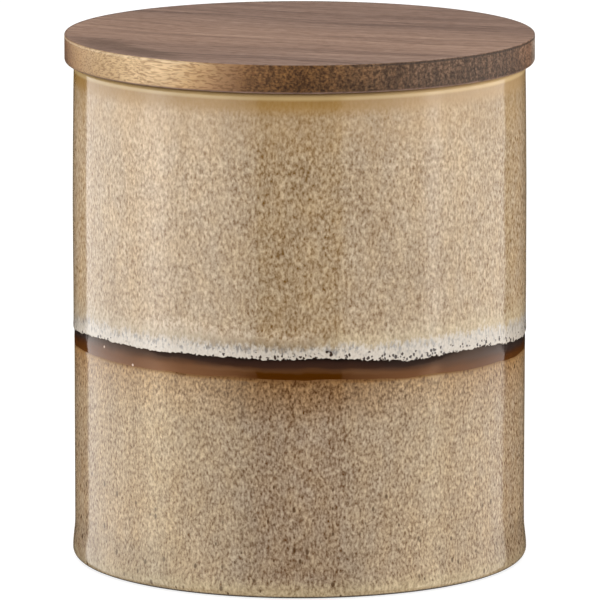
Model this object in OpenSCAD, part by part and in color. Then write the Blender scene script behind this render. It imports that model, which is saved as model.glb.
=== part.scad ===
// A lidded sugar bowl: a straight-sided stoneware jar, a flat wooden lid with a wooden plug
// glued under it, and a silicone ring that sits in the plug's groove and closes the mouth.
// Millimetres, +Z up. The origin is the centre of the flat ring that the jar stands on.

/* [Jar] */
// Diameter of the lower half of the jar
jar_d = 100; // [80:0.5:130]
// Height of the jar, from the table to the top of its lip
jar_h = 110.3; // [95:0.1:130]
// Thickness of the wall of the upper half, glaze included
wall_t = 4.6; // [4.2:0.1:8]
// Height of the inside floor above the table
floor_z = 6.5; // [5:0.5:10]
// Radius of the curve between the inside floor and the inside wall
floor_round = 5; // [2:0.5:8]
// Radius of the two curves that round the lip
lip_round = 1.8; // [1:0.1:2]

/* [Glaze] */
// How much thicker the second coat of glaze makes the upper half, on the radius
glaze_step = 0.2; // [0.1:0.05:0.4]
// Height of the edge where the second coat ends
glaze_edge_z = 52.5; // [30:0.5:80]

/* [Foot] */
// How far the foot flares out past the lower half, on the radius
foot_flare = 0.5; // [0.2:0.1:1]
// Height at which the flare meets the straight wall
flare_top_z = 7; // [5:0.5:12]
// Radius of the curve from the flare to the underside
foot_round = 1.8; // [1:0.1:2.5]
// Width of the flat ring that the jar stands on
foot_ring_w = 6; // [4:0.5:9]
// Depth of the hollow inside the foot ring
foot_recess = 1.5; // [0.5:0.1:2]

/* [Lid] */
// How far the wooden lid stands out past the upper half, on the radius
lid_overhang = 1.65; // [0:0.05:4]
// Thickness of the wooden lid
lid_t = 6.4; // [5:0.1:10]
// Radius of the curve along the lid's two edges
lid_edge_round = 0.6; // [0.3:0.1:1]
// Gap between the lid and the jar's lip
lid_gap = 0.3; // [0.2:0.1:0.6]

/* [Plug] */
// Gap between the plug and the inside wall
plug_gap = 1.2; // [0.8:0.1:2]
// Height of the plug, down from the lid
plug_h = 8.5; // [7.5:0.5:14]
// Chamfer round the plug's lower edge
plug_chamfer = 0.8; // [0.4:0.1:1]

/* [Seal] */
// Depth of the groove that holds the silicone ring
groove_depth = 2; // [1.5:0.1:3]
// Height of that groove
groove_h = 3; // [2.4:0.1:3.2]
// Distance from the lid down to the groove
groove_drop = 2.5; // [1.5:0.1:2.5]
// Running gap between the ring and the groove, and between the ring and the inside wall
seal_gap = 0.06; // [0.03:0.01:0.1]

/* [Hidden] */
$fn = 180;
profile_fn = 64;
jar_r = jar_d / 2;
upper_r = jar_r + glaze_step;
mouth_r = upper_r - wall_t;
foot_r = jar_r + foot_flare;
foot_ring_r = foot_r - foot_round;
recess_r = foot_ring_r - foot_ring_w;
lip_z = jar_h - lip_round;
lid_r = upper_r + lid_overhang;
lid_z = jar_h + lid_gap;
plug_r = mouth_r - plug_gap;
plug_z = lid_z - plug_h;
groove_r = plug_r - groove_depth;
groove_top_z = lid_z - groove_drop;
groove_z = groove_top_z - groove_h;
seal_r = mouth_r - seal_gap;
seal_inner_r = groove_r + seal_gap;
seal_z = groove_z + seal_gap;
seal_h = groove_h - 2 * seal_gap;
seal_nose_r = seal_h / 2;
overlap = 0.5;

// Round corner of a profile, placed at the centre of its curve
module corner(x, z, r) {
    translate([x, z])
        circle(r = r, $fn = profile_fn);
}

// Block of a profile between two radii and two heights
module block(x1, z1, x2, z2) {
    translate([x1, z1])
        square([x2 - x1, z2 - z1]);
}

// Outside of the jar's profile, from the underside to where the lip starts
module jar_outline() {
    block(0, 0, foot_ring_r, foot_round);
    corner(foot_ring_r, foot_round, foot_round);
    polygon([
        [0, foot_round],
        [foot_r, foot_round],
        [jar_r, flare_top_z],
        [0, flare_top_z]
    ]);
    block(0, flare_top_z, jar_r, glaze_edge_z);
    block(0, glaze_edge_z, upper_r, lip_z);
}

// Inside of the jar, with a round corner at the floor
module jar_cavity() {
    block(0, floor_z, mouth_r - floor_round, floor_z + floor_round);
    corner(mouth_r - floor_round, floor_z + floor_round, floor_round);
    block(0, floor_z + floor_round, mouth_r, lip_z + overlap);
}

// Rounded rim between the inside wall and the outside wall
module jar_lip() {
    corner(mouth_r + lip_round, lip_z, lip_round);
    corner(upper_r - lip_round, lip_z, lip_round);
    block(mouth_r + lip_round, lip_z - overlap, upper_r - lip_round, jar_h);
}

// The fired jar, clay and glaze in one piece, with a foot ring under it
module jar() {
    color("tan")
        rotate_extrude()
            union() {
                difference() {
                    jar_outline();
                    jar_cavity();
                    block(0, -overlap, recess_r, foot_recess);
                }
                jar_lip();
            }
}

// The round wooden board that covers the mouth and stands a little proud of the wall
module lid_top() {
    inner_r = lid_r - lid_edge_round;
    color("sienna")
        translate([0, 0, lid_z])
            rotate_extrude()
                union() {
                    block(0, 0, inner_r, lid_t);
                    block(inner_r - overlap, lid_edge_round, lid_r, lid_t - lid_edge_round);
                    corner(inner_r, lid_edge_round, lid_edge_round);
                    corner(inner_r, lid_t - lid_edge_round, lid_edge_round);
                }
}

// The smaller wooden disc that centres the lid in the mouth, with a groove round it
module lid_plug() {
    color("peru")
        rotate_extrude()
            polygon([
                [0, plug_z],
                [plug_r - plug_chamfer, plug_z],
                [plug_r, plug_z + plug_chamfer],
                [plug_r, groove_z],
                [groove_r, groove_z],
                [groove_r, groove_top_z],
                [plug_r, groove_top_z],
                [plug_r, lid_z],
                [0, lid_z]
            ]);
}

// The silicone ring, a flat band with a half-round nose that meets the inside wall
module seal_ring() {
    nose_x = seal_r - seal_nose_r;
    color("whitesmoke")
        rotate_extrude()
            union() {
                block(seal_inner_r, seal_z, nose_x, seal_z + seal_h);
                corner(nose_x, seal_z + seal_nose_r, seal_nose_r);
            }
}

jar();
lid_top();
lid_plug();
seal_ring();
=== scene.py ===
"""Looks of a lidded stoneware sugar bowl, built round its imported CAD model. Lengths are in metres."""
import math

import bpy
import numpy as np
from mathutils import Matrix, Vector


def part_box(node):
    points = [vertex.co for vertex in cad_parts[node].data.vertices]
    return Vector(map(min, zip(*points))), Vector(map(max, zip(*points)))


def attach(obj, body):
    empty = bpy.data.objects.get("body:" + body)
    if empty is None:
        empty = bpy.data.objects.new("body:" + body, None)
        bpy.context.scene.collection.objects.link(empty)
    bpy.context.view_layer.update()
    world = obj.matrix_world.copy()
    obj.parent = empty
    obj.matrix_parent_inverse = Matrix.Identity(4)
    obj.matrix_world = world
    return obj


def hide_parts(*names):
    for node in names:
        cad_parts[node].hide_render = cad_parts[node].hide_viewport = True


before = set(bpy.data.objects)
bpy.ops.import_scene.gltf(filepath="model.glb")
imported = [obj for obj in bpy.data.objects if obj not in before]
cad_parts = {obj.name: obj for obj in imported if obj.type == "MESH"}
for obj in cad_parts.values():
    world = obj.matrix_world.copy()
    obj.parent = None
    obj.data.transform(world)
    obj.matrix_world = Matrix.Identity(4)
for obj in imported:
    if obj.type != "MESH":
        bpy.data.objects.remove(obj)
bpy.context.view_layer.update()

MM = 0.001

# Sizes of the pieces, from the CAD nodes' boxes
foot_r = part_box("jar")[1][0]
lip_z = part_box("jar")[1][2]
seal_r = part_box("seal_ring")[1][0]
seal_low_z, seal_high_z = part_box("seal_ring")[0][2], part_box("seal_ring")[1][2]
plug_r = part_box("lid_plug")[1][0]
plug_low_z, plug_high_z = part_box("lid_plug")[0][2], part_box("lid_plug")[1][2]
lid_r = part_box("lid_top")[1][0]
lid_low_z, lid_high_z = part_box("lid_top")[0][2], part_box("lid_top")[1][2]

# The jar's own sizes, as its CAD source has them
FOOT_FLARE = 0.5 * MM
FLARE_TOP_Z = 7 * MM
FOOT_ROUND = 1.8 * MM
FOOT_RING_W = 6 * MM
FOOT_RECESS = 1.5 * MM
SECOND_COAT = 0.2 * MM
LIP_ROUND = 1.8 * MM
GLAZE_ROUND = 0.8 * MM
SEAL_GAP = 0.06 * MM
GROOVE_DEPTH = 2 * MM
FLOOR_Z = 6.5 * MM
FLOOR_ROUND = 5 * MM
wall_r = foot_r - FOOT_FLARE
upper_r = wall_r + SECOND_COAT
mouth_r = seal_r + SEAL_GAP

# How far under the glaze the clay's surface lies, and how deep within the clay the coats end
CLAY_SKIN = 0.35 * MM
COAT_ROOT = 0.5 * MM

# The second coat's lower edge: its height, its rounded bead, how much the coat swells there, and
# how far above it the rows are level again. The amber band starts a little lower.
EDGE_Z = 51.3 * MM
EDGE_BEAD = 0.16 * MM
EDGE_SWELL = 0.05 * MM
EDGE_ZONE = 7 * MM
AMBER_LOW_Z = 47.45 * MM

# How much narrower the wall is at the mouth
MOUTH_TAPER = 0.36 * MM

# Columns of faces round the glazed wall, and round the plainer turned pieces
COLUMNS = 1080
LID_COLUMNS = 720
INSIDE_COLUMNS = 540
CLAY_COLUMNS = 360

# Sizes in millimetres, for the materials
LIP_MM = lip_z / MM
LID_LOW_MM, LID_HIGH_MM = lid_low_z / MM, lid_high_z / MM
LID_R_MM = lid_r / MM
RING_R_MM = (foot_r - FOOT_ROUND) / MM


# ---------------------------------------------------------------- mesh building


def angles(columns):
    """Angles round the axis, from the front of the bowl, which faces -Y, towards its right."""
    return np.linspace(0, 2 * math.pi, columns, endpoint=False)


def lathe(name, rows, columns, marks=None):
    """A closed mesh of rows round the Z axis. A row is (radius, height), each a number or one per column.

    A first or last row of radius 0 is a pole; without poles the last row joins the first.
    marks gives each named vertex value as one number or array per row."""
    turn = angles(columns)
    points, counts = [], []
    for radius, height in rows:
        pole = np.ndim(radius) == 0 and radius == 0
        at = turn[:1] if pole else turn
        ring = np.empty((len(at), 3))
        ring[:, 0] = radius * np.sin(at)
        ring[:, 1] = -radius * np.cos(at)
        ring[:, 2] = height
        counts.append(len(at))
        points.append(ring)
    mesh = bpy.data.meshes.new(name)
    mesh.from_pydata(np.concatenate(points).tolist(), [], lathe_faces(counts, columns))
    for mark, values in (marks or {}).items():
        layer = mesh.attributes.new(mark, "FLOAT", "POINT")
        parts = [np.broadcast_to(v, n) for v, n in zip(values, counts)]
        layer.data.foreach_set("value", np.concatenate(parts).astype(np.float32))
    mesh.polygons.foreach_set("use_smooth", [True] * len(mesh.polygons))
    mesh.set_sharp_from_angle(angle=math.radians(50))
    piece = bpy.data.objects.new(name, mesh)
    bpy.context.scene.collection.objects.link(piece)
    return piece


def lathe_faces(counts, columns):
    """The faces between each row and the next, from the number of vertices in each row."""
    starts = np.cumsum([0] + counts)
    poles = counts[0] == 1 or counts[-1] == 1
    faces = []
    for j in range(len(counts) - 1 if poles else len(counts)):
        k = (j + 1) % len(counts)
        here = starts[j] + np.arange(counts[j])
        there = starts[k] + np.arange(counts[k])
        if counts[j] == 1:
            faces += [(here[0], b, a) for a, b in zip(np.roll(there, -1), there)]
        elif counts[k] == 1:
            faces += list(zip(here, np.roll(here, -1), [there[0]] * columns))
        else:
            faces += list(zip(here, np.roll(here, -1), np.roll(there, -1), there))
    return [tuple(map(int, face)) for face in faces]


def arc(centre_r, centre_z, radius, start, end, steps):
    """Rows along an arc of the profile. Angles are in degrees, 0 outward and 90 up."""
    turns = np.radians(np.linspace(start, end, steps))
    return [(centre_r + radius * math.cos(t), centre_z + radius * math.sin(t)) for t in turns]


def line(start, end, steps):
    """Rows evenly spaced between two rows, without the first."""
    shares = np.linspace(0, 1, steps + 1)[1:]
    return [tuple(a + (b - a) * s for a, b in zip(start, end)) for s in shares]


def ripple(turn, height, size, seed, waves=14):
    """Smooth random relief round a wall, mostly between -1 and 1, with a usual wavelength of size."""
    random = np.random.RandomState(seed)
    total = 0
    for _ in range(waves):
        length = size * random.uniform(0.6, 1.7)
        slant = random.uniform(0, 2 * math.pi)
        turns = round(2 * math.pi * wall_r * math.cos(slant) / length)
        climb = 2 * math.pi * math.sin(slant) / length
        total = total + np.cos(turns * turn + climb * height + random.uniform(0, 2 * math.pi))
    return total * math.sqrt(2 / waves) * 0.6


def wave(turn, count, crest):
    """A cosine round the jar with count crests, one of them at the crest angle in degrees."""
    return np.cos(count * (turn - math.radians(crest)))


def smooth(x, low, high):
    """0 below low, 1 above high, and a smooth step between them."""
    t = np.clip((x - low) / (high - low), 0, 1)
    return t * t * (3 - 2 * t)


# ---------------------------------------------------------------- the jar's meshes


def swing_z(turn):
    """Height of the second coat's lower edge without its small scallops: long waves and sags."""
    long_waves = 1.5 * wave(turn, 1, -24) + 0.14 * wave(turn, 3, -38)
    sags = 0.25 * wave(turn, 7, -2) + 0.24 * wave(turn, 9, 12)
    return EDGE_Z + (long_waves + sags) * MM


def coat_edge_z(turn):
    """Height of the second coat's lower edge, with soft scallops and a fine nibbled line."""
    scallops = 0.1 * ripple(turn, 0, 5 * MM, 11) + 0.1 * ripple(turn, 0, 1.9 * MM, 12)
    nibbles = (0.14 + 0.06 * wave(turn, 1, 60)) * ripple(turn, 0, 0.8 * MM, 13)
    return swing_z(turn) + (scallops + nibbles) * MM


def white_reach(turn):
    """How much taller than usual the white band is: lowest a little left of the front."""
    dip = ((1 + wave(turn, 1, -10)) / 2) ** 12
    return 1.4 - 0.45 * dip + 0.04 * wave(turn, 1, 90) + 0.1 * ripple(turn, 0, 18 * MM, 14)


def amber_low_z(turn):
    """Height of the amber band's lower edge."""
    return AMBER_LOW_Z + (0.75 * wave(turn, 1, -45) + 0.12 * ripple(turn, 0, 12 * MM, 21)) * MM


def wall_relief(turn, height):
    """The slight unevenness of a thrown and dipped wall."""
    slow = 0.035 * MM * ripple(turn, height, 45 * MM, 31)
    return slow + 0.008 * MM * ripple(turn, height, 9 * MM, 32)


def taper(z):
    """How far the wall draws in towards the mouth."""
    start_z, length = 72 * MM, 36 * MM
    return MOUTH_TAPER * np.clip((z - start_z) / length, 0, 1) ** 2


def second_coat():
    """The thicker coat on the upper half: white at its scalloped edge, speckled above, over the lip."""
    turn = angles(COLUMNS)
    edge = coat_edge_z(turn)
    reach = white_reach(turn)
    level_z = EDGE_Z + EDGE_ZONE
    rows, height = [], []

    def add(radius, z):
        """Keeps a row, and its height above the edge as a share of how far the white reaches."""
        rows.append((radius, z))
        height.append((z - edge) / MM / reach)

    def outer(above):
        """A row of the outer wall, this far above the edge where the coat starts."""
        share = smooth(above, 0, EDGE_ZONE)
        z = edge + above + share * (EDGE_Z - edge)
        swell = EDGE_SWELL * math.exp(-((above / (1.1 * MM)) ** 2))
        lumps = 0.035 * MM * math.exp(-above / (2.2 * MM)) * ripple(turn, z, 1.4 * MM, 41)
        add(upper_r + swell + lumps + wall_relief(turn, z), z)

    bead_r = upper_r + EDGE_SWELL - EDGE_BEAD
    add(bead_r - COAT_ROOT, edge + 0.5 * EDGE_BEAD)
    for t in np.radians(np.linspace(-90, -10, 6)):
        z = edge + EDGE_BEAD * (1 + math.sin(t))
        add(bead_r + EDGE_BEAD * math.cos(t) + wall_relief(turn, z), z)
    for above in np.linspace(0.3, 3.4, 14) * MM:
        outer(above)
    for above in np.linspace(3.7, 7, 8) * MM:
        outer(above)
    shoulder_z = lip_z - GLAZE_ROUND
    for z in np.linspace(level_z + 1.5 * MM, shoulder_z, 24):
        add(upper_r - taper(z) + wall_relief(turn, z) * smooth(shoulder_z - z, 0, 4 * MM), z)
    for radius, z in coated_lip(shoulder_z):
        add(radius, z)
    return lathe("glaze_second_coat", rows, COLUMNS, {"above_edge": height})


def coated_lip(shoulder_z):
    """Rows of the second coat over the lip, down inside the mouth, and back up within the clay."""
    shoulder_r = upper_r - taper(lip_z)
    lip = arc(shoulder_r - GLAZE_ROUND, shoulder_z, GLAZE_ROUND, 12, 90, 8)
    lip += arc(mouth_r + LIP_ROUND, lip_z - LIP_ROUND, LIP_ROUND, 90, 180, 9)
    lip += line(lip[-1], (mouth_r, lip_z - 6 * MM), 3)
    lip += [(mouth_r + COAT_ROOT, lip_z - 6.3 * MM), (mouth_r + COAT_ROOT, shoulder_z)]
    lip += [(shoulder_r - GLAZE_ROUND, lip_z - COAT_ROOT)]
    lip += [(shoulder_r - COAT_ROOT, shoulder_z)]
    return lip


def amber_band():
    """The glossy run of dark glaze that has pooled under the second coat's edge."""
    turn = angles(COLUMNS)
    top = coat_edge_z(turn) + 0.7 * MM
    low = amber_low_z(turn)
    rows, share = [], []
    for t in np.linspace(0, 1, 28):
        z = low + t * (top - low)
        # it starts thin at its lower edge, swells, and draws in under the second coat
        pool = 0.025 * smooth(t, 0, 0.3) - 0.03 * (1 - smooth(t, 0, 0.06))
        drawn_in = 0.2 * max(0, (t - 0.25) / 0.75) ** 2
        flow = 0.012 * ripple(turn, z, 7 * MM, 42)
        rows.append((wall_r + (pool - drawn_in + flow) * MM + wall_relief(turn, z), z))
        share.append((z - low) / (swing_z(turn) - low))
    rows += [(wall_r - COAT_ROOT, top), (wall_r - COAT_ROOT, low)]
    share += [1.0, 0.0]
    return lathe("glaze_amber_band", rows, COLUMNS, {"band": share})


def base_coat():
    """The thin first coat on the lower half and the flared foot. It ends under the amber band."""
    turn = angles(COLUMNS)
    band_z = amber_low_z(turn)
    flare_end_z = FLARE_TOP_Z + 1 * MM
    flare = [
        (wall_r + FOOT_FLARE * (1 - smooth(z, FOOT_ROUND, flare_end_z)), z)
        for z in np.linspace(FOOT_ROUND, flare_end_z, 9)
    ]
    foot = arc(foot_r - FOOT_ROUND, FOOT_ROUND, FOOT_ROUND, -52, 0, 8)
    rows = foot[:-1] + flare
    rows += line(flare[-1], (wall_r, band_z + 0.3 * MM), 30)
    rows = [(r + wall_relief(turn, z) * smooth(z, 1 * MM, 5 * MM), z) for r, z in rows]
    low = foot[0]
    end_z = band_z + 0.8 * MM
    rows += [(wall_r - 0.3 * MM, end_z), (wall_r - COAT_ROOT, end_z)]
    rows += [(wall_r - COAT_ROOT, FLARE_TOP_Z), (low[0] - COAT_ROOT, low[1] + COAT_ROOT)]
    below = [(band_z - z) / MM for _, z in rows]
    return lathe("glaze_base_coat", rows, COLUMNS, {"below_band": below})


def clay_body():
    """The fired clay under the glaze, bare on the foot ring and in the hollow under it."""
    skin = CLAY_SKIN
    soft = 0.8 * MM
    ring_r = foot_r - FOOT_ROUND
    shoulder_z = lip_z - LIP_ROUND
    shoulder_r = upper_r - taper(lip_z) - LIP_ROUND
    recess_r = ring_r - FOOT_RING_W
    rows = [(0, FOOT_RECESS)]
    rows += line((0, FOOT_RECESS), (recess_r - soft, FOOT_RECESS), 8)
    rows += arc(recess_r - soft, FOOT_RECESS - soft, soft, 90, 0, 5)[1:]
    rows += [(recess_r, 0.3 * MM), (recess_r + 0.3 * MM, 0)]
    rows += line(rows[-1], (ring_r, 0), 4)
    rows += arc(ring_r, FOOT_ROUND, FOOT_ROUND, -90, -45, 6)[1:]
    rows += arc(ring_r, FOOT_ROUND, FOOT_ROUND - skin, -40, 0, 4)
    rows += line(rows[-1], (wall_r - skin, FLARE_TOP_Z), 2)
    rows += [(wall_r - skin - taper(z), z) for z in np.linspace(20 * MM, shoulder_z, 12)]
    rows += arc(shoulder_r, shoulder_z, LIP_ROUND - skin, 0, 90, 5)
    rows += arc(mouth_r + LIP_ROUND, shoulder_z, LIP_ROUND - skin, 90, 180, 5)
    rows += line(rows[-1], (mouth_r + skin, FLOOR_Z + FLOOR_ROUND), 6)
    rows += arc(mouth_r - FLOOR_ROUND, FLOOR_Z + FLOOR_ROUND, FLOOR_ROUND + skin, 0, -90, 6)[1:]
    rows += line(rows[-1], (5 * MM, FLOOR_Z - skin), 6)
    rows += [(0, FLOOR_Z - skin)]
    return lathe("clay_body", rows, CLAY_COLUMNS)


def liner_glaze():
    """The glaze that lines the inside, from under the mouth down to the floor."""
    turn = angles(INSIDE_COLUMNS)
    top_z = lip_z - 5.5 * MM
    corner_r, corner_z = mouth_r - FLOOR_ROUND, FLOOR_Z + FLOOR_ROUND
    rows = [(0, FLOOR_Z - COAT_ROOT)]
    rows += line(rows[-1], (corner_r, FLOOR_Z - COAT_ROOT), 4)
    rows += arc(corner_r, corner_z, FLOOR_ROUND + COAT_ROOT, -90, 0, 5)[1:]
    rows += line(rows[-1], (mouth_r + COAT_ROOT, top_z), 2)
    inner = line((mouth_r, top_z), (mouth_r, corner_z), 26)
    inner += arc(corner_r, corner_z, FLOOR_ROUND, 0, -90, 10)[1:]
    inner = [(r + 0.8 * wall_relief(turn, z), z) for r, z in [(mouth_r, top_z)] + inner]
    floor_rows = line((corner_r, FLOOR_Z), (2 * MM, FLOOR_Z), 16)
    rows += inner + floor_rows + [(0, FLOOR_Z)]
    return lathe("glaze_liner", rows, INSIDE_COLUMNS)


# ---------------------------------------------------------------- the lid's meshes


def lid_board():
    """The round board, with sanded edges and a face that is very slightly crowned."""
    low_edge, edge = 0.9 * MM, 0.4 * MM
    crown = 0.12 * MM
    rows = [(0, lid_low_z)]
    rows += line(rows[-1], (lid_r - low_edge, lid_low_z), 12)
    rows += arc(lid_r - low_edge, lid_low_z + low_edge, low_edge, -90, 0, 9)[1:]
    rows += line(rows[-1], (lid_r, lid_high_z - edge), 6)
    rows += arc(lid_r - edge, lid_high_z - edge, edge, 0, 80, 7)[1:]
    for radius in np.linspace(lid_r - edge, 1.5 * MM, 28):
        rows.append((radius, lid_high_z - crown * (radius / lid_r) ** 6))
    rows += [(0, lid_high_z)]
    return lathe("lid_board", rows, LID_COLUMNS)


def lid_disc():
    """The smaller disc under the board, with the groove for the ring turned into its side."""
    chamfer = 0.8 * MM
    groove_low_z = seal_low_z - SEAL_GAP
    groove_high_z = seal_high_z + SEAL_GAP
    groove_r = plug_r - GROOVE_DEPTH
    soft = 0.15 * MM
    rows = [(0, plug_low_z)]
    rows += line(rows[-1], (plug_r - chamfer, plug_low_z), 14)
    rows += line(rows[-1], (plug_r, plug_low_z + chamfer), 3)
    rows += line(rows[-1], (plug_r, groove_low_z - soft), 2)
    rows += [(plug_r - soft, groove_low_z)]
    rows += line(rows[-1], (groove_r, groove_low_z), 2)
    rows += line(rows[-1], (groove_r, groove_high_z), 3)
    rows += line(rows[-1], (plug_r - soft, groove_high_z), 2)
    rows += [(plug_r, groove_high_z + soft), (plug_r, plug_high_z)]
    rows += line(rows[-1], (10 * MM, plug_high_z), 3)
    rows += [(0, plug_high_z)]
    return lathe("lid_disc", rows, INSIDE_COLUMNS)


def silicone_ring():
    """The ring in the groove: a flat root and two soft fins that lean up against the wall."""
    root_r = plug_r - GROOVE_DEPTH + SEAL_GAP
    body_r = plug_r + 0.1 * MM
    soft = 0.3 * MM
    fin_tip = 0.2 * MM
    tall = seal_high_z - seal_low_z
    rows = [(root_r, seal_low_z), (body_r - soft, seal_low_z)]
    for share in (0.3, 0.78):
        z = seal_low_z + share * tall
        rows += [(body_r, z - 0.48 * MM), (seal_r - 0.22 * MM, z - 0.28 * MM)]
        rows += arc(seal_r - fin_tip, z - 0.08 * MM, fin_tip, -80, 100, 6)
        rows += [(body_r + 0.1 * MM, z + 0.02 * MM)]
    rows += [(body_r, seal_high_z - 0.1 * MM), (body_r - soft, seal_high_z)]
    rows += [(root_r, seal_high_z)]
    return lathe("sealing_ring", rows, INSIDE_COLUMNS)


# ---------------------------------------------------------------- materials


class Material:
    """A Principled material, with short calls for the kinds of node used here."""

    def __init__(self, name):
        self.data = bpy.data.materials.new(name)
        self.data.use_nodes = True
        self.tree = self.data.node_tree
        self.shader = self.tree.nodes["Principled BSDF"]

    def feed(self, socket, value):
        """Links a socket to an output, or sets its constant value."""
        if isinstance(value, bpy.types.NodeSocket):
            self.tree.links.new(value, socket)
        elif isinstance(value, (tuple, list)) and socket.type == "RGBA":
            socket.default_value = (*value[:3], 1)
        else:
            socket.default_value = value

    def node(self, kind, inputs, **settings):
        """A new node, with its inputs fed and its settings made."""
        made = self.tree.nodes.new(kind)
        for key, value in settings.items():
            setattr(made, key, value)
        for key, value in inputs.items():
            self.feed(made.inputs[key], value)
        return made

    def set(self, **inputs):
        """Feeds the shader's own inputs, whose names have _ for a space."""
        for key, value in inputs.items():
            self.feed(self.shader.inputs[key.replace("_", " ")], value)

    def math(self, operation, a, b=0.0, c=0.0, clamp=False):
        """One operation on up to three values."""
        inputs = {0: a, 1: b, 2: c}
        return self.node("ShaderNodeMath", inputs, operation=operation, use_clamp=clamp).outputs[0]

    def times(self, product, *others):
        """The product of two or more values."""
        for other in others:
            product = self.math("MULTIPLY", product, other)
        return product

    def plus(self, total, *others):
        """The sum of two or more values."""
        for other in others:
            total = self.math("ADD", total, other)
        return total

    def swing(self, noise, reach):
        """A noise as a swing about 0, of at most half of reach each way."""
        return self.math("MULTIPLY", self.math("SUBTRACT", noise, 0.5), reach)

    def place(self, scale=(1, 1, 1), turn=0.0):
        """Object coordinates in millimetres, turned about Z by degrees, then scaled."""
        at = self.node("ShaderNodeTexCoord", {}).outputs["Object"]
        at = self.node("ShaderNodeVectorMath", {0: at, "Scale": 1 / MM}, operation="SCALE").outputs[0]
        if turn:
            at = self.node(
                "ShaderNodeVectorRotate", {"Vector": at, "Angle": math.radians(turn)}, rotation_type="Z_AXIS"
            ).outputs[0]
        return self.vector("MULTIPLY", at, scale)

    def axes(self, at=None):
        """The three parts of a vector, or of the place in millimetres."""
        return self.node("ShaderNodeSeparateXYZ", {0: self.place() if at is None else at}).outputs

    def vector(self, operation, a, b):
        """A vector made from two vectors."""
        return self.node("ShaderNodeVectorMath", {0: a, 1: b}, operation=operation).outputs[0]

    def noise(self, at, scale, detail=2.0, roughness=0.5, distortion=0.0):
        """Soft noise between 0 and 1, with scale waves or so in a millimetre."""
        inputs = {"Vector": at, "Scale": scale, "Detail": detail, "Roughness": roughness}
        return self.node("ShaderNodeTexNoise", {**inputs, "Distortion": distortion}).outputs[0]

    def cells(self, at, scale):
        """Voronoi cells: the distance to the nearest cell's centre, and two random values of the cell."""
        made = self.node("ShaderNodeTexVoronoi", {"Vector": at, "Scale": scale})
        pick = self.node("ShaderNodeSeparateColor", {0: made.outputs["Color"]})
        return made.outputs["Distance"], pick.outputs[0], pick.outputs[1]

    def spots(self, distance, size):
        """A round spot in each cell: 1 at its centre, falling to 0 at its edge."""
        return self.math("SUBTRACT", 1.0, self.math("DIVIDE", distance, size), clamp=True)

    def step(self, value, low, high, out_low=0.0, out_high=1.0):
        """A smooth step from out_low to out_high as value goes from low to high."""
        inputs = {"Value": value, "From Min": low, "From Max": high, "To Min": out_low, "To Max": out_high}
        return self.node("ShaderNodeMapRange", inputs, interpolation_type="SMOOTHSTEP").outputs[0]

    def span(self, value, low, high, out_low=0.0, out_high=1.0):
        """A straight ramp from out_low to out_high as value goes from low to high."""
        inputs = {"Value": value, "From Min": low, "From Max": high, "To Min": out_low, "To Max": out_high}
        return self.node("ShaderNodeMapRange", inputs).outputs[0]

    def mix(self, share, a, b, blend="MIX"):
        """The colour a where share is 0, and b, or a blended with b, where it is 1."""
        made = self.node("ShaderNodeMix", {}, data_type="RGBA", blend_type=blend)
        self.feed(made.inputs[0], share)
        self.feed(made.inputs[6], a)
        self.feed(made.inputs[7], b)
        return made.outputs[2]

    def shade(self, share, colour, factor):
        """Multiplies a colour by a factor where share is 1."""
        return self.mix(share, colour, self.mix(1.0, colour, factor, "MULTIPLY"))

    def ramp(self, value, stops):
        """A colour for each value from 0 to 1, through a list of (position, colour)."""
        made = self.node("ShaderNodeValToRGB", {0: value})
        ramp = made.color_ramp
        while len(ramp.elements) < len(stops):
            ramp.elements.new(0.5)
        for element, (position, colour) in zip(ramp.elements, stops):
            element.position = position
            element.color = (*colour, 1)
        return made.outputs[0]

    def mark(self, name):
        """A vertex value of the mesh, in its own units."""
        return self.node("ShaderNodeAttribute", {}, attribute_name=name).outputs["Fac"]

    def bump(self, height, distance, strength=1.0, normal=None):
        """The normal of a surface raised by height times distance, on top of another normal if given."""
        inputs = {"Height": height, "Distance": distance, "Strength": strength}
        if normal is not None:
            inputs["Normal"] = normal
        return self.node("ShaderNodeBump", inputs).outputs[0]


# Colours of the glazes, as linear red, green and blue. A mottle has a pale and a dark side.
UPPER_PALE, UPPER_DARK = (0.648, 0.50, 0.325), (0.165, 0.075, 0.012)
UPPER_CALM_PALE, UPPER_CALM_DARK = (0.58, 0.43, 0.265), (0.27, 0.155, 0.06)
LOWER_PALE, LOWER_DARK = (0.565, 0.437, 0.300), (0.098, 0.031, 0.002)
LINER_PALE, LINER_DARK = (0.72, 0.58, 0.42), (0.36, 0.22, 0.11)
CREAM_LEFT, CREAM_FRONT, CREAM_RIGHT = (0.55, 0.46, 0.33), (0.42, 0.33, 0.22), (0.65, 0.53, 0.34)
WHITE, WHITE_DULL = (0.70, 0.63, 0.54), (0.57, 0.49, 0.40)
SMUDGE = (0.27, 0.245, 0.225)
# the right-hand gold and pale lip colours hold a painted highlight, and the pale lip line is partly one
GOLD_LEFT, GOLD_RIGHT_PAINTED_HIGHLIGHT = (0.385, 0.215, 0.058), (0.54, 0.35, 0.17)
PALE_LIP_LEFT, PALE_LIP_RIGHT_PAINTED_HIGHLIGHT = (0.60, 0.42, 0.19), (0.80, 0.57, 0.29)
PINHOLE = (0.045, 0.026, 0.018)
RUST = (0.085, 0.037, 0.013)
FLECK = (0.60, 0.47, 0.38)
BAND_FRINGE = (0.16, 0.070, 0.022)
FOOT_PALE, FOOT_DARK = (0.64, 0.50, 0.31), (0.35, 0.25, 0.135)
# painted contact shadow along the bottom of the glaze
FOOT_PAINTED_SHADOW = (0.10, 0.075, 0.055)

# What the run does to the colour of the coat below it, from its edge down to this depth in millimetres
STAIN_DEPTH = 10
STAIN = [
    (0.0, (0.78, 0.61, 0.41)),
    (0.12, (0.85, 0.72, 0.56)),
    (0.45, (0.94, 0.87, 0.79)),
    (1.0, (1.0, 1.0, 1.0)),
]
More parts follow.
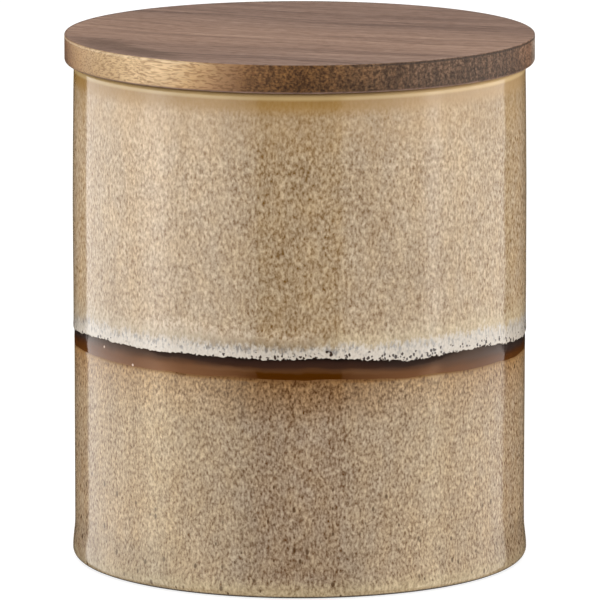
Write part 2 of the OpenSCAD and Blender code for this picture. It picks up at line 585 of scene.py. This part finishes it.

# The run from its lower edge up. At the front and the back it is deep: clear amber, a thin paler line that
# is a painted reflection, and plum black. At the sides it is thinner and paler, and dark only along the top.
AMBER_DEEP = [
    (0.0, (0.10, 0.035, 0.006)),
    (0.12, (0.070, 0.019, 0.001)),
    (0.30, (0.072, 0.021, 0.001)),
    # the next two stops are a painted reflection line
    (0.42, (0.100, 0.040, 0.013)),
    (0.52, (0.085, 0.036, 0.015)),
    (0.62, (0.048, 0.021, 0.012)),
    (0.85, (0.035, 0.016, 0.011)),
    (1.0, (0.014, 0.008, 0.006)),
]
AMBER_THIN = [
    (0.0, (0.20, 0.095, 0.035)),
    (0.08, (0.120, 0.040, 0.008)),
    (0.45, (0.092, 0.031, 0.008)),
    (0.62, (0.060, 0.023, 0.010)),
    (0.78, (0.042, 0.024, 0.018)),
    (1.0, (0.034, 0.022, 0.018)),
]

# The clay, the woods from the pale to the dark of their rings, the lid's top edge with its painted shade and
# painted highlight, and the ring
CLAY_PALE, CLAY_DARK = (0.55, 0.41, 0.28), (0.46, 0.33, 0.22)
CLAY_GRIT = (0.20, 0.13, 0.08)
# painted contact shadow at the foot ring's outer edge
CLAY_FOOT_PAINTED_SHADOW = (0.035, 0.026, 0.024)
FACE_WOOD = [
    (0.28, (0.370, 0.248, 0.190)),
    (0.42, (0.30, 0.193, 0.146)),
    (0.55, (0.250, 0.158, 0.119)),
    (0.72, (0.160, 0.099, 0.076)),
]
FACE_STREAK = (0.10, 0.058, 0.038)
DISC_WOOD = [(0.3, (0.42, 0.27, 0.165)), (0.5, (0.33, 0.20, 0.12)), (0.7, (0.23, 0.135, 0.08))]
# painted shade and painted highlight along the lid's upper edge, the pale partly sapwood
EDGE_PAINTED_SHADE, EDGE_SAPWOOD_AND_HIGHLIGHT = (0.055, 0.032, 0.022), (0.80, 0.62, 0.40)
SILICONE_PALE, SILICONE_DARK = (0.74, 0.74, 0.72), (0.66, 0.66, 0.63)

# The rim's wood by how far it reaches towards the front left, as a share of the lid's radius
RIM_WOOD = [
    (0.20, (0.205, 0.116, 0.069)),
    (0.50, (0.230, 0.115, 0.045)),
    (0.68, (0.275, 0.124, 0.031)),
    (0.82, (0.315, 0.152, 0.054)),
    (0.88, (0.42, 0.23, 0.105)),
    (0.93, (0.66, 0.42, 0.20)),
    (0.985, (0.93, 0.675, 0.39)),
]
RIM_FAR_RIGHT = (0.50, 0.395, 0.32)


def speckle(m, pale, dark, middle=0.5, per_mm=1.75):
    """The fine upright brown mottle that shows all over the speckled glaze, and its noise.

    middle is the noise at which pale and dark are equal, so more of it is pale where middle is higher."""
    fine = m.noise(m.place((1, 1, 0.61)), per_mm, 2.2, 0.55, 0.2)
    patch = m.noise(m.place((1, 1, 0.5)), 0.16, 2, 0.5)
    fine = m.plus(fine, m.swing(patch, 0.12))
    share = m.span(fine, middle - 0.24, middle + 0.24)
    # some patches are warmer and some are cooler
    hue = m.span(m.noise(m.place((1, 1, 0.6)), 0.3, 1, 0.5), 0.3, 0.7)
    tint = m.mix(hue, (1.015, 0.995, 0.95), (0.985, 1.005, 1.05))
    return m.mix(1.0, m.mix(share, pale, dark), tint, "MULTIPLY"), fine


def tone(m, colour, low, high, scale, size):
    """Makes a colour drift a little darker and lighter over large soft patches."""
    patch = m.noise(m.place(scale), size, 2, 0.5)
    grey = m.step(patch, 0.3, 0.7, low, high)
    factor = m.node("ShaderNodeCombineColor", {0: grey, 1: grey, 2: grey}).outputs[0]
    return m.mix(1.0, colour, factor, "MULTIPLY")


def second_coat_material():
    """Mottled tan, turning creamy and then white at its lower edge, and golden at the lip."""
    m = Material("second_coat_glaze")
    above = m.mark("above_edge")
    x, _, z = m.axes()
    body, fine = second_coat_mottle(m, x, z)
    streaks = m.noise(m.place((1, 1, 0.3)), 0.7, 4, 0.62)
    height = m.plus(above, m.swing(streaks, 3.4), m.swing(fine, 3.0))
    body = m.mix(m.step(height, 7.0, 2.6, 0.0, 0.55), body, cream_glaze(m, x, fine))
    colour = white_edge(m, body, x, height)
    colour = lip_glaze(m, colour, x, z)
    pits, pit_share = pinholes(m, above)
    colour = m.mix(pit_share, colour, PINHOLE)
    m.set(Base_Color=tone(m, colour, 0.94, 1.04, (1, 1, 0.3), 0.06))
    m.set(Roughness=m.step(fine, 0.3, 0.7, 0.07, 0.13), IOR=1.5)
    m.set(Normal=m.bump(m.plus(m.times(fine, 0.25), pits), 0.05 * MM, 0.5))
    return m.data


def second_coat_mottle(m, x, z):
    """The second coat's speckle: calmer near the lip, and paler at the sides, which is painted light."""
    body, fine = speckle(m, UPPER_PALE, UPPER_DARK)
    calm, _ = speckle(m, UPPER_CALM_PALE, UPPER_CALM_DARK)
    body = m.mix(m.step(z, LIP_MM - 16.3, LIP_MM - 6.3), body, calm)
    from_front = m.math("ABSOLUTE", x)
    # painted light: paler at the sides, where the side lights fall
    body = m.shade(m.step(from_front, 14, 40), body, (1.1, 1.1, 1.09))
    # painted sheen makes it palest just before it turns out of sight, less so near the lip, and a painted
    # highlight makes the upper part of each flank pale
    painted_edge_sheen = m.times(m.step(from_front, 44.5, 48), m.step(z, LIP_MM - 6.3, LIP_MM - 12.3, 0.3, 1.0))
    body = m.shade(painted_edge_sheen, body, (1.17, 1.19, 1.26))
    painted_flank_highlight = m.times(m.step(from_front, 15, 23), m.step(from_front, 41, 33), m.step(z, 68, 96))
    return m.shade(painted_flank_highlight, body, (1.12, 1.12, 1.12)), fine


def cream_glaze(m, x, fine):
    """The creamier mottle above the white: dull at the front, and palest on the right."""
    cream = m.mix(m.step(x, 1, 14), CREAM_FRONT, CREAM_RIGHT)
    cream = m.mix(m.step(x, -13, -26), cream, CREAM_LEFT)
    mottle = m.mix(m.span(fine, 0.3, 0.7), (1.13, 1.13, 1.13), (0.84, 0.83, 0.81))
    return m.mix(1.0, cream, mottle, "MULTIPLY")


def white_edge(m, body, x, height):
    """The white along the coat's edge, with grey smudges, up to where the mottle begins."""
    grain = m.noise(m.place((1, 1, 0.6)), 2.2, 2, 0.6)
    blotch = m.noise(m.place((1, 1, 0.5)), 1.4, 3, 0.62)
    white = m.mix(m.span(grain, 0.3, 0.7), WHITE, WHITE_DULL)
    smudge = m.times(m.step(height, 0.5, 1.9), m.step(blotch, 0.46, 0.62), m.step(x, 8, 26, 1.0, 0.7))
    white = m.mix(smudge, white, SMUDGE)
    # on the front left a pale ring and a greyer one below it run between the mottle and the white
    left_of_front = m.step(x, 6, 0)
    pale_ring = m.times(m.step(height, 3.7, 4.6), m.step(height, 6.6, 5.6))
    pale_ring = m.times(pale_ring, left_of_front, m.step(x, -40, -26))
    body = m.shade(pale_ring, body, (1.15, 1.18, 1.26))
    # on the right the white ends more sharply, about this height
    ends = 3.7
    sharper = m.step(x, 5, 20, 1.0, 1.3)
    reach = m.math("MULTIPLY_ADD", m.math("SUBTRACT", height, ends), sharper, ends)
    colour = m.mix(m.step(reach, 3.5, 1.5), body, white)
    grey_ring = m.times(m.step(height, 1.4, 2.2), m.step(height, 4.1, 3.3))
    grey_ring = m.times(grey_ring, m.step(blotch, 0.40, 0.60, 0.35, 1.5))
    grey_ring = m.times(grey_ring, left_of_front, m.step(x, -28, -14))
    return m.shade(grey_ring, colour, (0.83, 0.82, 0.81))


def lip_glaze(m, colour, x, z):
    """A plainer golden glaze under the lid, and a pale line where the glaze breaks paler over the lip,
    partly a painted highlight; both are painted brighter towards the right.
    """
    painted_highlight_rightward = m.step(x, 5, 42)
    # painted highlight: the gold and the pale lip line grow brighter towards the right
    gold = m.mix(painted_highlight_rightward, GOLD_LEFT, GOLD_RIGHT_PAINTED_HIGHLIGHT)
    colour = m.mix(m.step(z, LIP_MM - 5.8, LIP_MM - 2.3, 0.0, 0.85), colour, gold)
    pale_lip = m.mix(painted_highlight_rightward, PALE_LIP_LEFT, PALE_LIP_RIGHT_PAINTED_HIGHLIGHT)
    return m.mix(m.step(z, LIP_MM - 1.7, LIP_MM - 1.0), colour, pale_lip)


def pinholes(m, above):
    """Small burst bubbles in the white band, most of them near its edge on the front right."""
    at = m.place((1, 1, 0.85))
    x = m.axes(at)[0]
    # the cells are bent a little, so that the holes aren't all round
    bend = m.node("ShaderNodeTexNoise", {"Vector": at, "Scale": 1.7, "Detail": 1.0}).outputs["Color"]
    bend = m.node("ShaderNodeVectorMath", {0: bend, "Scale": 0.55}, operation="SCALE").outputs[0]
    at = m.vector("ADD", at, bend)
    distance, chance, spread = m.cells(at, 1.3)
    crowd = m.times(m.step(x, -24, 2, 0.2, 1.1), m.step(x, 40, 30, 0.6, 1.0))
    chosen = m.math("LESS_THAN", chance, m.times(m.step(above, 1.9, 0.1), crowd))
    depth = m.times(m.spots(distance, m.math("MULTIPLY_ADD", spread, 0.42, 0.26)), chosen)
    return m.times(depth, -1.0), m.step(depth, 0.05, 0.35)


def specks(m, colour, z):
    """Sparse rust-brown specks, more of them towards the foot."""
    distance, chance, spread = m.cells(m.place((1, 1, 0.6)), 0.7)
    chosen = m.math("LESS_THAN", chance, m.step(z, 32, 6, 0.04, 0.4))
    inside = m.spots(distance, m.math("MULTIPLY_ADD", spread, 0.22, 0.16))
    return m.mix(m.times(m.step(inside, 0.0, 0.5, 0.0, 0.85), chosen), colour, RUST)


def amber_material():
    """Clear amber at the lower edge of the run, and nearly black under the second coat."""
    m = Material("amber_glaze")
    band = m.mark("band")
    x = m.axes()[0]
    cloud = m.noise(m.place((1, 1, 0.5)), 0.3, 2, 0.5)
    streak = m.noise(m.place((1, 1, 2.5)), 0.16, 2, 0.5)
    share = m.plus(band, m.swing(streak, 0.3), m.swing(cloud, 0.08), m.step(x, 5, 35, 0.0, 0.14))
    sideways = m.step(m.math("ABSOLUTE", x), 8, 28)
    colour = m.mix(sideways, m.ramp(share, AMBER_DEEP), m.ramp(share, AMBER_THIN))
    # a few flecks of the white have dropped into it on the left
    distance, chance, _ = m.cells(m.place(), 0.3)
    chosen = m.math("LESS_THAN", chance, m.step(x, -20, -36, 0.0, 0.2))
    colour = m.mix(m.times(m.step(distance, 0.11, 0.06), chosen), colour, FLECK)
    m.set(Base_Color=colour, Roughness=m.step(share, 0.35, 1.0, 0.06, 0.14))
    m.set(IOR=1.44, Specular_Tint=(1.0, 0.58, 0.34))
    # the run thins and leans in towards the second coat's edge
    lean = m.math("POWER", m.math("SUBTRACT", band, 0.22, clamp=True), 1.6)
    leaning = m.bump(m.times(lean, -1.0), 0.6 * MM)
    m.set(Normal=m.bump(m.noise(m.place(), 0.8, 2), 0.02 * MM, 0.4, leaning))
    return m.data


def base_coat_material():
    """Mottled brown, stained by the run above it, paler over the foot."""
    m = Material("base_coat_glaze")
    x, _, z = m.axes()
    body, fine = speckle(m, LOWER_PALE, LOWER_DARK, per_mm=1.95)
    from_front = m.math("ABSOLUTE", x)
    # the coat is paler at the sides than at the front and the back, less so on the right
    sideways = m.step(from_front, 9, 34)
    body = m.shade(m.times(sideways, m.step(x, -5, 5, 1.0, 0.72)), body, (1.24, 1.21, 1.12))
    # painted sheen: palest just before it turns out of sight
    body = m.shade(m.step(from_front, 45, 48), body, (1.09, 1.11, 1.12))
    colour = band_stain(m, body, fine, sideways, from_front)
    colour = foot_glaze(m, colour, fine, x, z)
    colour = specks(m, colour, z)
    # a dark line of painted contact shadow along the bottom
    colour = m.mix(m.step(z, 0.75, 0.35), colour, FOOT_PAINTED_SHADOW)
    m.set(Base_Color=tone(m, colour, 0.92, 1.05, (1, 1, 0.3), 0.06))
    m.set(Roughness=m.step(fine, 0.3, 0.7, 0.08, 0.15))
    m.set(IOR=1.45, Specular_Tint=(1.0, 0.97, 0.73))
    m.set(Normal=m.bump(fine, 0.05 * MM, 0.14))
    return m.data


def band_stain(m, body, fine, sideways, from_front):
    """The run stains the coat below it, most of all at the front and the back."""
    below = m.mark("below_band")
    seep = m.plus(below, m.swing(fine, 3))
    body = m.mix(1.0, body, m.ramp(m.math("DIVIDE", seep, STAIN_DEPTH), STAIN), "MULTIPLY")
    pool = m.times(m.step(seep, 11, 2), m.step(sideways, 0.5, 0.0))
    body = m.shade(pool, body, (0.77, 0.70, 0.61))
    # its mottle is stronger there
    near = m.times(m.step(below, 10, 3), m.step(from_front, 40, 20, 0.35, 1.0))
    body = m.shade(near, body, m.mix(m.span(fine, 0.3, 0.7), (1.17, 1.18, 1.22), (0.86, 0.82, 0.75)))
    return m.mix(m.step(seep, 0.2, -0.6, 0.0, 0.7), body, BAND_FRINGE)


def foot_glaze(m, colour, fine, x, z):
    """The coat runs paler over the foot, but less so at the far left and the far right."""
    low = m.plus(z, m.times(fine, 4))
    foot = m.mix(m.span(fine, 0.3, 0.7), FOOT_PALE, FOOT_DARK)
    colour = m.mix(m.step(low, 7.0, 3.0, 0.0, 0.8), colour, foot)
    left_foot = m.times(m.step(z, 13.5, 6.5), m.step(x, -20, -33))
    colour = m.shade(left_foot, colour, (0.84, 0.85, 0.88))
    right_foot = m.times(m.step(z, 13, 8), m.step(x, 41, 45))
    return m.shade(right_foot, colour, (0.84, 0.84, 0.84))


def liner_material():
    """The same speckle inside, in paler colours and with less of its dark side."""
    m = Material("liner_glaze")
    body, fine = speckle(m, LINER_PALE, LINER_DARK, middle=0.58)
    m.set(Base_Color=tone(m, body, 0.92, 1.04, (1, 1, 0.5), 0.05))
    m.set(Roughness=m.step(fine, 0.3, 0.7, 0.1, 0.2), IOR=1.5)
    m.set(Normal=m.bump(fine, 0.04 * MM, 0.12))
    return m.data


def clay_material():
    """Gritty clay with darker grains, and a dark line of painted contact shadow low round the outside of the
    foot ring.
    """
    m = Material("bare_clay")
    grit = m.noise(m.place(), 3.5, 3, 0.7)
    cloud = m.noise(m.place(), 0.2, 2, 0.5)
    colour = m.mix(m.step(cloud, 0.3, 0.7), CLAY_PALE, CLAY_DARK)
    colour = m.mix(m.step(grit, 0.62, 0.72), colour, CLAY_GRIT)
    x, y, z = m.axes()
    from_axis = m.math("SQRT", m.plus(m.times(x, x), m.times(y, y)))
    # painted contact shadow: a dark line low round the outside of the foot ring
    rim = m.times(m.step(from_axis, RING_R_MM, RING_R_MM + 0.3), m.step(z, 0.9, 0.5))
    m.set(Base_Color=m.mix(rim, colour, CLAY_FOOT_PAINTED_SHADOW), Roughness=m.step(grit, 0.3, 0.7, 0.7, 0.9))
    m.set(Normal=m.bump(grit, 0.08 * MM, 0.6))
    return m.data


def wood_grain(m, turn, bend=0.0):
    """Noises of a solid piece of wood, and the wavy distance across its fibres in millimetres.

    turn lays the fibres along X, and bend curves them."""
    at = m.place(turn=turn)
    along, across, up = m.axes(at)
    drift = m.swing(m.noise(m.vector("MULTIPLY", at, (0.5, 1, 1)), 0.05, 3), 10)
    bow = m.times(m.math("POWER", m.math("ABSOLUTE", along), 2.0), bend)
    across = m.plus(across, drift, bow)
    grain = m.node("ShaderNodeCombineXYZ", {0: along, 1: across, 2: up}).outputs[0]

    def drawn(stretch, scale, detail, roughness):
        """Noise drawn out along the fibres, and for rings also from face to face."""
        return m.noise(m.vector("MULTIPLY", grain, stretch), scale, detail, roughness)

    return {
        "across": across,
        "rings": drawn((0.035, 1, 0.15), 0.42, 4, 0.65),
        "fibres": drawn((0.06, 1, 1), 2.6, 3, 0.6),
        "pores": drawn((0.14, 1, 1), 2.9, 1, 0.4),
    }


def wood_finish(m, colour, grain, depth):
    """Adds the fibres and the dark pores to the wood's colour, and its dry satin surface."""
    colour = m.shade(m.step(grain["fibres"], 0.36, 0.66, 0.0, depth), colour, (0.56, 0.50, 0.46))
    holes = m.step(grain["pores"], 0.5, 0.62)
    colour = m.shade(m.times(holes, depth), colour, (0.52, 0.42, 0.34))
    m.set(Base_Color=colour, Roughness=m.step(grain["fibres"], 0.3, 0.7, 0.45, 0.6))
    m.set(IOR=1.45, Specular_Tint=(1.0, 0.93, 0.82))
    relief = m.plus(m.times(grain["fibres"], -0.3), m.times(holes, -0.7))
    m.set(Normal=m.bump(relief, 0.06 * MM, 0.6))
    return m.data


def along_direction(m, degrees):
    """A point's distance from the axis in a direction, in millimetres: 0 is the front, 90 the right."""
    turn = math.radians(degrees)
    inputs = {0: m.place(), 1: (math.sin(turn), -math.cos(turn), 0)}
    return m.node("ShaderNodeVectorMath", inputs, operation="DOT_PRODUCT").outputs["Value"]


def board_face(m, grain):
    """Brown heartwood with pinkish and grey-brown streaks, palest a little in front of its middle."""
    face = m.ramp(grain["rings"], FACE_WOOD)
    from_palest = m.math("ABSOLUTE", m.plus(grain["across"], 12))
    face = m.shade(m.step(from_palest, 32, 5), face, (1.28, 1.27, 1.22))
    # a dark streak along the front left edge, beside the sapwood
    reach = m.plus(along_direction(m, -55), m.swing(grain["rings"], 9))
    streak = m.times(m.step(reach, 40.5, 44), m.step(reach, 50, 47, 0.3, 1.0))
    from_its_middle = m.math("ABSOLUTE", along_direction(m, 35))
    streak = m.times(streak, m.step(from_its_middle, 24, 10, 0.0, 0.5))
    return m.mix(streak, face, FACE_STREAK)


def board_rim(m, grain):
    """The rim goes from grey-brown end grain through warm brown to golden sapwood at the front left."""
    x, _, z = m.axes()
    slant = m.times(m.math("SUBTRACT", z, (LID_LOW_MM + LID_HIGH_MM) / 2), 0.25)
    wavy = m.plus(m.swing(grain["fibres"], 5), m.swing(grain["rings"], 7))
    reach = m.plus(along_direction(m, -47), slant, wavy)
    rim = m.ramp(m.math("DIVIDE", reach, LID_R_MM), RIM_WOOD)
    # the sapwood is darkened towards the left by painted shade and pales again, and the far right end is
    # paler
    rim = m.shade(m.step(x, -30, -43.5), rim, (0.61, 0.56, 0.47))
    rim = m.shade(m.step(x, -43, -51), rim, (1.28, 1.31, 1.42))
    rim = m.shade(m.step(x, 46, 50.5), rim, (2.0, 1.95, 1.9))
    rim = m.mix(m.step(x, 50.4, 51.4), rim, RIM_FAR_RIGHT)
    rim = m.shade(m.step(grain["rings"], 0.42, 0.62, 0.0, 0.45), rim, (0.6, 0.54, 0.5))
    return edge_highlight_and_shade(m, end_grain(m, rim, reach, z), x, z)


def end_grain(m, rim, reach, z):
    """Mottles the brown part, with upright rays, and darkens it towards its lower edge with painted shade.
    """
    brown = m.step(reach, 46, 40)
    mottle = m.noise(m.place((1, 1, 0.95)), 1.45, 2.2, 0.55)
    rim = m.shade(m.times(brown, m.span(mottle, 0.38, 0.62)), rim, (0.34, 0.29, 0.23))
    rays = m.noise(m.place((0.9, 0.9, 0.14)), 1.1, 2, 0.6)
    ray_share = m.times(m.step(rays, 0.42, 0.66), m.step(reach, 40, 15, 0.35, 0.8), brown)
    rim = m.shade(ray_share, rim, (1.6, 1.62, 1.6))
    # painted shade: darker towards the lower edge, which gets less light from above
    low = m.step(z, LID_LOW_MM + 4.8, LID_LOW_MM + 1.2)
    return m.shade(m.times(low, brown), rim, (0.78, 0.76, 0.74))


def edge_highlight_and_shade(m, rim, x, z):
    """The upper edge is dark on the right, a painted shade, and pale on the left, where sapwood shows with a
    painted highlight.
    """
    from_edge = m.math("ABSOLUTE", m.math("SUBTRACT", z, LID_HIGH_MM - 0.5))
    near_edge = m.step(from_edge, 0.3, 0.1)
    # painted shade along the right of the upper edge
    rim = m.mix(m.times(near_edge, m.step(x, 5, 22, 0.0, 0.8)), rim, EDGE_PAINTED_SHADE)
    # sapwood with a painted highlight along the left of the upper edge
    return m.mix(m.times(near_edge, m.step(x, -15, -30, 0.0, 0.5)), rim, EDGE_SAPWOOD_AND_HIGHLIGHT)


def board_material():
    """The board's walnut-brown heartwood, whose rim shows sapwood at the front left."""
    m = Material("lid_wood")
    facing_up = m.axes(m.node("ShaderNodeTexCoord", {}).outputs["Normal"])[2]
    side = m.step(m.math("ABSOLUTE", facing_up), 0.85, 0.3)
    in_face = wood_grain(m, 20, -0.0018)
    in_rim = wood_grain(m, 34)
    colour = m.mix(side, board_face(m, in_face), board_rim(m, in_rim))
    grain = {}
    for part in ("fibres", "pores"):
        change = m.math("SUBTRACT", in_rim[part], in_face[part])
        grain[part] = m.math("MULTIPLY_ADD", change, side, in_face[part])
    return wood_finish(m, colour, grain, m.math("MULTIPLY_ADD", side, 0.15, 0.5))


def disc_material():
    """The paler, plainer wood of the disc under the board."""
    m = Material("disc_wood")
    grain = wood_grain(m, 115)
    return wood_finish(m, m.ramp(grain["rings"], DISC_WOOD), grain, 0.5)


def silicone_material():
    """Slightly dusty, milky rubber."""
    m = Material("silicone")
    dust = m.noise(m.place(), 1.2, 3, 0.6)
    m.set(Base_Color=m.mix(m.step(dust, 0.35, 0.7), SILICONE_PALE, SILICONE_DARK))
    m.set(Roughness=m.step(dust, 0.3, 0.7, 0.42, 0.55), IOR=1.41)
    m.set(Normal=m.bump(dust, 0.03 * MM, 0.3))
    return m.data


def floor_material():
    """A white photo table that is also lit from below."""
    m = Material("studio_floor")
    paper = m.noise(m.place(), 0.02, 3, 0.6)
    m.set(Base_Color=m.mix(paper, (0.31, 0.31, 0.31), (0.29, 0.29, 0.29)), Roughness=0.9)
    m.set(Emission_Color=(1.0, 1.0, 1.0), Emission_Strength=0.8)
    return m.data


# ---------------------------------------------------------------- the studio


def floor():
    """A large sheet just under the foot."""
    side, low = 4.0, -0.02 * MM
    mesh = bpy.data.meshes.new("studio_floor")
    corners = [(-side, -side, low), (side, -side, low), (side, side, low), (-side, side, low)]
    mesh.from_pydata(corners, [], [(0, 1, 2, 3)])
    piece = bpy.data.objects.new("studio_floor", mesh)
    bpy.context.scene.collection.objects.link(piece)
    mesh.materials.append(floor_material())
    piece.visible_glossy = False


def panel(name, centre, facing, size, radiance, seen_in="both", fades=None):
    """A flat soft light, whose radiance is the brightness that a mirror would show.

    seen_in limits it to "gloss" or to "matt" shading, and fades shape its brightness along its two sides."""
    light = bpy.data.lights.new(name, "AREA")
    light.shape = "RECTANGLE"
    light.size, light.size_y = size
    light.energy = radiance * math.pi * size[0] * size[1]
    if fades:
        fade_light(light, *fades)
    lamp = bpy.data.objects.new(name, light)
    lamp.location = centre
    lamp.rotation_euler = facing
    lamp.visible_camera = False
    lamp.visible_glossy = seen_in != "matt"
    lamp.visible_diffuse = seen_in != "gloss"
    bpy.context.scene.collection.objects.link(lamp)


def fade_light(light, across, upward):
    """Shapes a light's brightness: two lists of (place, brightness), each place from 0 to 1."""
    light.use_nodes = True
    tree = light.node_tree
    emission = tree.nodes["Emission"]
    place = tree.nodes.new("ShaderNodeNewGeometry").outputs["Parametric"]
    parts = tree.nodes.new("ShaderNodeSeparateXYZ")
    tree.links.new(place, parts.inputs[0])
    product = tree.nodes.new("ShaderNodeMath")
    product.operation = "MULTIPLY"
    for axis, stops in enumerate((across, upward)):
        ramp = tree.nodes.new("ShaderNodeValToRGB")
        ramp.color_ramp.interpolation = "EASE"
        while len(ramp.color_ramp.elements) < len(stops):
            ramp.color_ramp.elements.new(0.5)
        for element, (position, brightness) in zip(ramp.color_ramp.elements, stops):
            element.position = position
            element.color = (brightness, brightness, brightness, 1)
        tree.links.new(parts.outputs[axis], ramp.inputs[0])
        tree.links.new(ramp.outputs[0], product.inputs[axis])
    tree.links.new(product.outputs[0], emission.inputs["Strength"])


def side_panels(name, side, matt, gloss, back_angle, across, upward):
    """Upright panels beside the bowl: a near one for matt shading, and a far one that only gloss shows.

    side is -1 on the left and 1 on the right, and back_angle is where the far one ends, from the front."""
    facing = (math.radians(90), 0, math.radians(90 * side))
    near, near_size = 0.75, (2.8, 1.2)
    panel(name + "_matt", (side * near, -0.2, 0.55), facing, near_size, matt, "matt")
    far, y_front = 2.5, -6.5
    y_back = -far / math.tan(math.radians(back_angle))
    low, high = -2.5, 0.5
    if side < 0:
        across = [(1 - place, brightness) for place, brightness in reversed(across)]
    centre = (side * far, (y_front + y_back) / 2, (low + high) / 2)
    size = (y_back - y_front, high - low)
    panel(name + "_gloss", centre, facing, size, gloss, "gloss", (across, upward))


# Brightness of the far panels from end to end and from bottom to top
LEFT_ACROSS = [(0.0, 0.2), (0.55, 0.6), (0.64, 1.0), (0.72, 0.62), (1.0, 0.44)]
RIGHT_ACROSS = [(0.0, 0.23), (0.3, 0.39), (0.61, 0.54), (0.675, 1.0), (0.72, 0.62), (1.0, 0.42)]
LEFT_UPWARD = [(0.0, 0.5), (0.35, 0.7), (0.6, 1.0), (0.8, 1.0), (1.0, 0.4)]
RIGHT_UPWARD = [(0.0, 0.75), (0.35, 0.9), (0.6, 1.0), (0.82, 1.0), (1.0, 0.5)]


def studio():
    """The white table, a soft light at each side and one overhead, in a dim room."""
    floor()
    left = {"gloss": 4.3, "back_angle": 137.5, "across": LEFT_ACROSS, "upward": LEFT_UPWARD}
    right = {"gloss": 3.6, "back_angle": 127, "across": RIGHT_ACROSS, "upward": RIGHT_UPWARD}
    side_panels("softbox_left", side=-1, matt=1.05, **left)
    side_panels("softbox_right", side=1, matt=1.05, **right)
    panel("overhead", centre=(0, 0.3, 1.8), facing=(0, 0, 0), size=(3.6, 3.6), radiance=1.3)
    world = bpy.data.worlds.new("studio_air")
    world.use_nodes = True
    air = world.node_tree.nodes["Background"]
    air.inputs["Color"].default_value = (1, 1, 1, 1)
    air.inputs["Strength"].default_value = 0.06
    bpy.context.scene.world = world
    world.cycles_visibility.glossy = False
    bpy.context.scene.view_settings.view_transform = "Standard"


def camera():
    """A long lens, a little above the lid, aimed near the middle of the bowl."""
    distance = 1.6
    elevation = math.radians(9.83)
    pivot_z = 60 * MM
    aim_z = 57.0 * MM
    data = bpy.data.cameras.new("camera")
    data.lens = 433.0
    data.sensor_width = 36
    data.clip_end = 20
    data.shift_x = 0.0006
    eye = bpy.data.objects.new("camera", data)
    eye.location = (0, -distance * math.cos(elevation), pivot_z + distance * math.sin(elevation))
    drop = math.atan2(eye.location.z - aim_z, -eye.location.y)
    eye.rotation_euler = (math.radians(90) - drop, 0, 0)
    bpy.context.scene.collection.objects.link(eye)
    bpy.context.scene.camera = eye


# ---------------------------------------------------------------- the bowl


def place(piece, material, body, slot, *nodes):
    """Gives a mesh its material and its body, and hides the CAD nodes it stands for; slot is not used."""
    piece.data.materials.append(material)
    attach(piece, body)
    if nodes:
        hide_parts(*nodes)


def bowl():
    """Every piece of the bowl, with its material, its body, a slot name that is not used, and the CAD node
    it stands for.
    """
    place(clay_body(), clay_material(), "jar", "bare_clay", "jar")
    place(base_coat(), base_coat_material(), "jar", "stoneware_glaze", "jar")
    place(amber_band(), amber_material(), "jar", "stoneware_glaze", "jar")
    place(second_coat(), second_coat_material(), "jar", "stoneware_glaze", "jar")
    place(liner_glaze(), liner_material(), "jar", "stoneware_glaze", "jar")
    place(lid_board(), board_material(), "lid", "lid_wood", "lid_top")
    place(lid_disc(), disc_material(), "lid", "plug_wood", "lid_plug")
    place(silicone_ring(), silicone_material(), "seal", "silicone", "seal_ring")


camera()
studio()
bowl()
